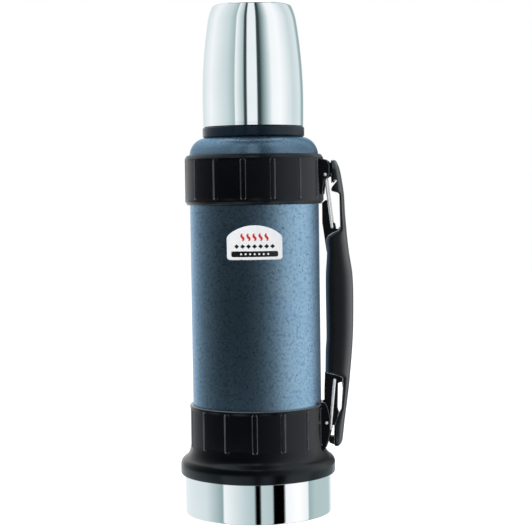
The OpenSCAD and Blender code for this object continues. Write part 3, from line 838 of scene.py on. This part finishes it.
def decal(name, outline, material, low=0.5, high=0.68):
    """A thin printed shape on the badge from an outline of (u, v), in strips that follow the curve."""
    bm = bmesh.new()
    face = bm.faces.new([bm.verts.new((u, v, 0)) for u, v in outline])
    bm.normal_update()
    if face.normal.z < 0:
        face.normal_flip()
    left, right = min(u for u, _ in outline), max(u for u, _ in outline)
    for cut_u in steps(left, right, 1.2)[1:-1]:
        whole = bm.verts[:] + bm.edges[:] + bm.faces[:]
        bmesh.ops.bisect_plane(bm, geom=whole, plane_co=(cut_u, 0, 0), plane_no=(1, 0, 0))
    bmesh.ops.triangulate(bm, faces=bm.faces[:])
    flat_verts = [v.co.copy() for v in bm.verts]
    bm.verts.index_update()
    faces = [tuple(v.index for v in f.verts) for f in bm.faces]
    edges = [tuple(loop.vert.index for loop in (e.link_loops[0], e.link_loops[0].link_loop_next))
             for e in bm.edges if len(e.link_faces) == 1]
    bm.free()
    n = len(flat_verts)
    verts = [badge_point(v.x, v.y, height) for height in (high, low) for v in flat_verts]
    faces += [tuple(n + i for i in reversed(f)) for f in faces]
    faces += [(b, a, n + a, n + b) for a, b in edges]
    return wear(build(name, verts, faces, "flask", 40), material)


verts, faces = badge_mesh()
badge = build("badge_enamel", verts, faces, "flask", 40)
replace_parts(wear(badge, WHITE), "badge_plate")


def dot(u, v, radius):
    """A round outline about (u, v)."""
    angles = [TAU * k / 20 for k in range(20)]
    return [(u + radius * math.cos(a), v + radius * math.sin(a)) for a in angles]


def ribbon(points, half):
    """A band along points, half wide to each side of its middle and narrower towards its ends."""
    left, right = [], []
    for i, (u, v) in enumerate(points):
        a, b = points[max(i - 1, 0)], points[min(i + 1, len(points) - 1)]
        du, dv = b[0] - a[0], b[1] - a[1]
        size = math.hypot(du, dv)
        taper = half * math.sin(math.pi * (0.12 + 0.76 * i / (len(points) - 1)))
        left.append((u - dv / size * taper, v + du / size * taper))
        right.append((u + dv / size * taper, v - du / size * taper))
    return left + right[::-1]


# Five curls of steam, a row of diamonds and a dark bar with dots: a generic label with no letters
for i, u in enumerate((-8, -4, 0, 4, 8)):
    curl = [(u + 0.7 * math.sin(TAU * t / 12), 189.2 + 4.8 * t / 12) for t in range(13)]
    decal(f"badge_steam_{i}", ribbon(curl, 0.85), RED)
for i, u in enumerate((-12, -8, -4, 0, 4, 8, 12)):
    decal(f"badge_diamond_{i}", [(u - 1.65, 185.5), (u, 184), (u + 1.65, 185.5), (u, 187)], INK)
decal("badge_bar", rounded([(-15.8, 178.5), (15.8, 178.5), (15.8, 182.3), (-15.8, 182.3)], 1.3), INK)
for i in range(7):
    decal(f"badge_dot_{i}", dot(-9 + 3 * i, 180.4, 0.65), WHITE, 0.66, 0.74)


# ---------------------------------------------------------------- inner pieces keep their CAD shapes

for node, material in (
        ("base_pad", PAD), ("outer_base_cap", STEEL), ("getter_plug", STEEL), ("heat_shield", FOIL),
        ("inner_bottle", STEEL), ("neck_collar", NAVY), ("neck_gasket", SEAL), ("stopper_body", GREY),
        ("stopper_knob", BLACK), ("stopper_core", FOAM), ("stopper_plug", STEEL),
        ("stopper_lower_gasket", SEAL), ("stopper_upper_gasket", SEAL), ("cup_liner", GREY),
        ("cup_seal_ring", SEAL)):
    wear(nodes[node], material)


# ---------------------------------------------------------------- studio

DRUM_R, DRUM_FOOT, DRUM_TOP, DRUM_GLOW = 0.2, -0.3, 0.62, 1.05
LOW_EDGE, HIGH_EDGE, EDGE_FADE = 0.006, 0.2725, 0.002
CUP_MIRROR_R, BODY_MIRROR_R, BASE_MIRROR_R = 0.032, BODY_R * MM, BASE_R * MM

# Cards round the object, as (degrees to the right of the camera, brightness), fading evenly from stop to
# stop. Two stops a degree or two apart are the edge of a card. The high cards light the cup, the low ones
# the body and collars, and the floor cards the base.
HIGH_CARDS = [(-180, 0.8), (-150, 0.75), (-110, 0.9), (-60, 0.65), (-42, 0.45), (-40, 0.9), (-22, 0.5),
              (-19, 0.05), (-14, 0.05), (-12, 0.86), (9, 0.86), (11, 0.05), (17, 0.05), (30, 0.45),
              (45, 0.9), (65, 0.95), (105, 0.67), (133, 0.77), (148, 0.36), (160, 0.45), (175, 0.76)]
LOW_CARDS = [(-180, 0.95), (-150, 0.95), (-128, 0.5), (-104, 0.21), (-80, 0.1), (-60, 0.05), (-15, 0.045),
             (10, 0.1), (30, 0.25), (45, 0.5), (60, 0.78), (90, 1), (112, 0.95), (125, 0.5), (145, 0.18),
             (156, 0.1), (175, 0.6)]
FLOOR_CARDS = [(-180, 0.92), (-120, 0.77), (-90, 0.73), (-57, 0.36), (-55, 0.9), (-20, 0.62), (-6, 0.54),
               (-4, 0), (3, 0), (5, 0.6), (22, 0.55), (24, 0), (41, 0), (43, 0.9), (65, 1), (84, 0.88),
               (86, 0.42), (100, 0.54), (145, 0.55), (160, 0.87)]


def tinted(level):
    """Studio grey, a little green-blue where it is dim."""
    return (level * (0.55 + 0.45 * level), level, min(1, level * 1.03), 1)


def neutral(level):
    return (level, level, level, 1)


class Studio(Tree):
    """A node tree of the world, the floor or the drum of cards."""

    def dot(self, vector, direction):
        node = self.node("ShaderNodeVectorMath", operation="DOT_PRODUCT")
        self.link(vector, node.inputs[0])
        node.inputs[1].default_value = direction
        return node.outputs["Value"]

    def rise(self, value, low, high):
        """0 below low and 1 above high, with a soft change between them."""
        node = self.node("ShaderNodeMapRange", interpolation_type="SMOOTHSTEP")
        self.link(value, node.inputs["Value"])
        node.inputs["From Min"].default_value = low
        node.inputs["From Max"].default_value = high
        return node.outputs["Result"]

    def compass(self, vector):
        """0 to 1 round the object, with the camera's side in the middle."""
        turn = self.node("ShaderNodeMath", operation="ARCTAN2")
        self.link(self.dot(vector, (*RIGHT, 0)), turn.inputs[0])
        self.link(self.dot(vector, (*TOWARDS, 0)), turn.inputs[1])
        share = self.node("ShaderNodeMath", operation="MULTIPLY_ADD")
        self.link(turn.outputs[0], share.inputs[0])
        share.inputs[1].default_value = 1 / TAU
        share.inputs[2].default_value = 0.5
        return share.outputs[0]

    def cards(self, where, stops, shade, mirror_r):
        """One ring of cards, placed for a round mirror of this radius."""
        node = self.node("ShaderNodeValToRGB")
        ramp = node.color_ramp
        while len(ramp.elements) > 1:
            ramp.elements.remove(ramp.elements[-1])
        ramp.elements[0].position = 0
        ramp.elements[0].color = shade(stops[0][1])
        for degrees, level in stops[1:]:
            ramp.elements.new(drum_share(degrees, mirror_r)).color = shade(level)
        self.link(where, node.inputs["Fac"])
        return node.outputs["Color"]

    def choose(self, factor, a, b):
        """One of two shaders."""
        node = self.node("ShaderNodeMixShader")
        self.link(factor, node.inputs[0])
        self.link(a, node.inputs[1])
        self.link(b, node.inputs[2])
        return node.outputs[0]

    def glow(self, colour, strength, kind="ShaderNodeEmission"):
        node = self.node(kind)
        if isinstance(colour, tuple):
            node.inputs["Color"].default_value = colour
        else:
            self.link(colour, node.inputs["Color"])
        node.inputs["Strength"].default_value = strength
        return node.outputs[0]


def drum_share(degrees, mirror_r):
    """Place round the drum, 0 to 1, that a round mirror of this radius shows at a reflection's angle."""
    nearer = math.asin(mirror_r / DRUM_R * math.sin(math.radians(degrees / 2)))
    return (degrees - math.degrees(nearer)) / 360 + 0.5


def round_mesh(name, rings, turns):
    """A sheet through rings of (r, z) that isn't part of the flask, and its empty node tree."""
    mesh = bpy.data.meshes.new(name)
    mesh.from_pydata(turned(rings, turns), [], grid_faces(len(rings), turns, False, True))
    obj = bpy.data.objects.new(name, mesh)
    bpy.context.scene.collection.objects.link(obj)
    obj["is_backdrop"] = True
    material = bpy.data.materials.new(name)
    material.use_nodes = True
    mesh.materials.append(material)
    return obj, Studio(material.node_tree)


# The camera sees white all round. Everything else sees a dim sky with one soft card overhead.
world = bpy.data.worlds.new("studio")
bpy.context.scene.world = world
world.use_nodes = True
sky = Studio(world.node_tree)
seen = sky.node("ShaderNodeLightPath").outputs["Is Camera Ray"]
out = sky.node("ShaderNodeOutputWorld")
look_dir = sky.node("ShaderNodeTexCoord").outputs["Generated"]
overhead = sky.rise(sky.dot(look_dir, (-0.42 * TOWARDS[0], -0.42 * TOWARDS[1], 0.9075)), 0.9, 0.97)
dim = sky.glow(sky.mix(overhead, neutral(0.06), neutral(1)), 2.2, "ShaderNodeBackground")
white = sky.glow(neutral(1), 1.0, "ShaderNodeBackground")
sky.link(sky.choose(seen, dim, white), out.inputs["Surface"])

# A drum of cards round the object that only its reflections and soft light show
drum, shader = round_mesh("card_drum", [(DRUM_R, DRUM_FOOT), (DRUM_R, DRUM_TOP)], 128)
drum.visible_camera = False
drum.visible_shadow = False
spot = shader.node("ShaderNodeTexCoord").outputs["Object"]
where = shader.compass(spot)
high = shader.dot(spot, (0, 0, 1))
cards = shader.mix(shader.rise(high, LOW_EDGE - EDGE_FADE, LOW_EDGE + EDGE_FADE),
                   shader.cards(where, FLOOR_CARDS, tinted, BASE_MIRROR_R),
                   shader.cards(where, LOW_CARDS, neutral, BODY_MIRROR_R))
cards = shader.mix(shader.rise(high, HIGH_EDGE - EDGE_FADE, HIGH_EDGE + EDGE_FADE), cards,
                   shader.cards(where, HIGH_CARDS, tinted, CUP_MIRROR_R))
out = shader.node("ShaderNodeOutputMaterial")
shader.link(shader.glow(cards, DRUM_GLOW), out.inputs["Surface"])

# A floor bright enough to vanish into the white, a hair below the part so that the two don't share a plane
floor, ground = round_mesh("pale_floor", [(r, 0) for r in (0, 0.06, 0.12, 0.25, 0.5, 1, 2, 3)], 64)
floor.location.z = -0.0002
floor.visible_glossy = False
pale = ground.node("ShaderNodeBsdfDiffuse")
pale.inputs["Color"].default_value = (0.5, 0.5, 0.5, 1)
both = ground.node("ShaderNodeAddShader")
ground.link(pale.outputs[0], both.inputs[0])
ground.link(ground.glow(neutral(1), 0.96), both.inputs[1])
out = ground.node("ShaderNodeOutputMaterial")
ground.link(both.outputs[0], out.inputs["Surface"])

fill_data = bpy.data.lights.new("fill", "AREA")
fill_data.shape = "DISK"
fill_data.size = 1.2
fill_data.energy = 24
fill = bpy.data.objects.new("fill", fill_data)
bpy.context.scene.collection.objects.link(fill)
fill.location = (-0.5, -1.3, 0.9)
fill.rotation_mode = "QUATERNION"
fill.rotation_quaternion = (fill.location - Vector((0, 0, 0.18))).to_track_quat("Z", "Y")
fill.visible_glossy = False


# ---------------------------------------------------------------- camera

CAMERA_DISTANCE, CAMERA_SIDE, CAMERA_HEIGHT = 1.0385, 0.007365, 0.22035
CAMERA_LENS, CAMERA_SHIFT = 101.5038, 0.001316
CAMERA_PITCH, CAMERA_ROLL = math.radians(-2.788), math.radians(-0.811)

camera_data = bpy.data.cameras.new("camera")
camera_data.sensor_width = 36
camera_data.lens = CAMERA_LENS
camera_data.clip_start = 0.01
camera_data.shift_y = CAMERA_SHIFT
camera = bpy.data.objects.new("camera", camera_data)
bpy.context.scene.collection.objects.link(camera)
camera.location = (CAMERA_DISTANCE * TOWARDS[0] + CAMERA_SIDE * RIGHT[0],
                   CAMERA_DISTANCE * TOWARDS[1] + CAMERA_SIDE * RIGHT[1], CAMERA_HEIGHT)
flat = math.cos(CAMERA_PITCH)
forward = Vector((-TOWARDS[0] * flat, -TOWARDS[1] * flat, math.sin(CAMERA_PITCH)))
camera.rotation_mode = "QUATERNION"
level = (-forward).to_track_quat("Z", "Y")
camera.rotation_quaternion = level @ Quaternion((0, 0, 1), CAMERA_ROLL)
bpy.context.scene.camera = camera
bpy.context.scene.view_settings.view_transform = "Standard"

low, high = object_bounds()
